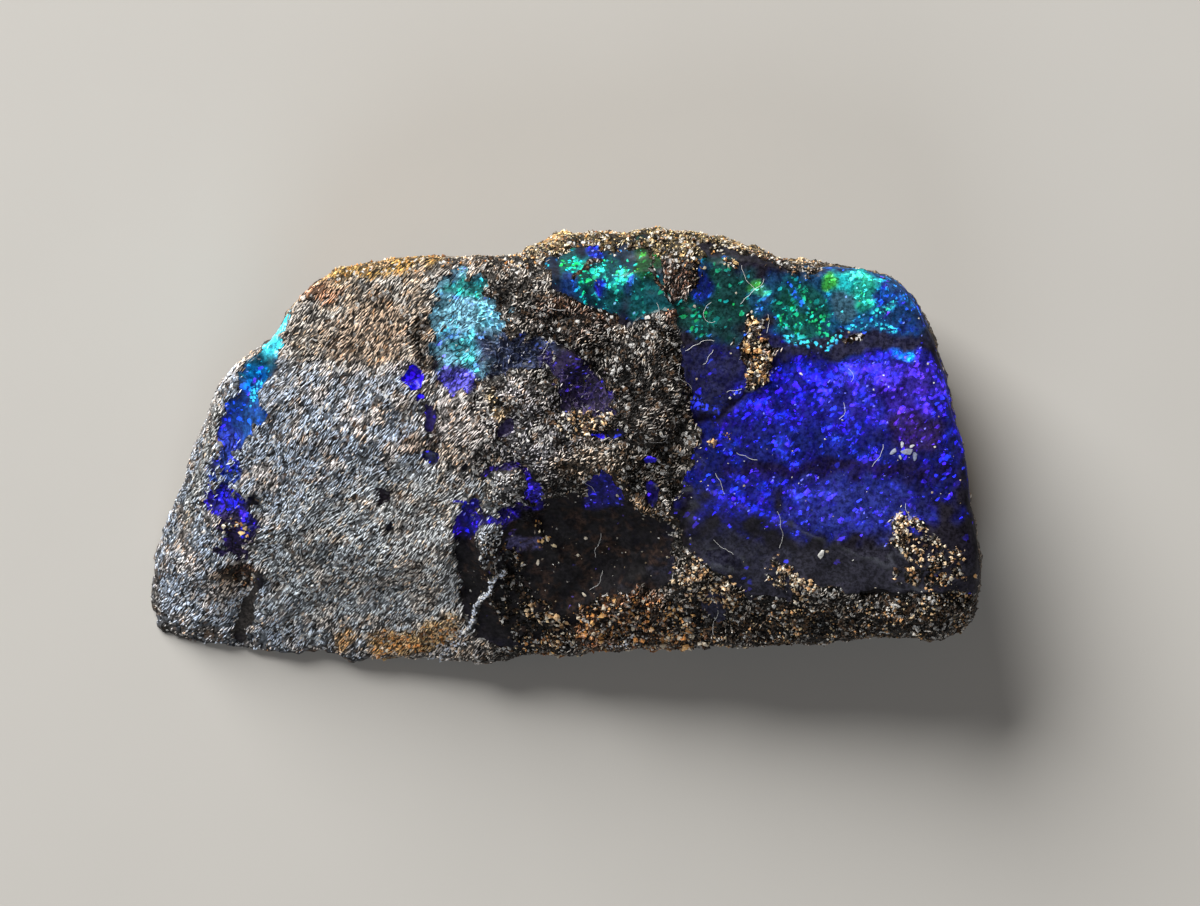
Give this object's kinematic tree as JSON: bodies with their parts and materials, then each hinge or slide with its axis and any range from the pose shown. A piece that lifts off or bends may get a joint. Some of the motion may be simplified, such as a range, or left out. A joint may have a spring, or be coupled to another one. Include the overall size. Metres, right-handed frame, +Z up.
{
  "type": "rough boulder opal",
  "caption": "Wedge-shaped piece of rough boulder opal: brown ironstone with a glassy blue and green opal face, lying flat.",
  "frame": {"origin": "under the middle of the stone's bounding box, on the surface it lies on", "axes": "+X along the length, towards the thick end with the opal face; +Y towards the crusted long edge; +Z up"},
  "size_m": [0.0418, 0.0214, 0.0108],
  "materials": {
    "stone": "rough granular brown-grey ironstone with glassy opal that flashes blue, violet and green"
  },
  "bodies": {
    "root": {"boulder_opal": "stone"}
  },
  "joints": []
}
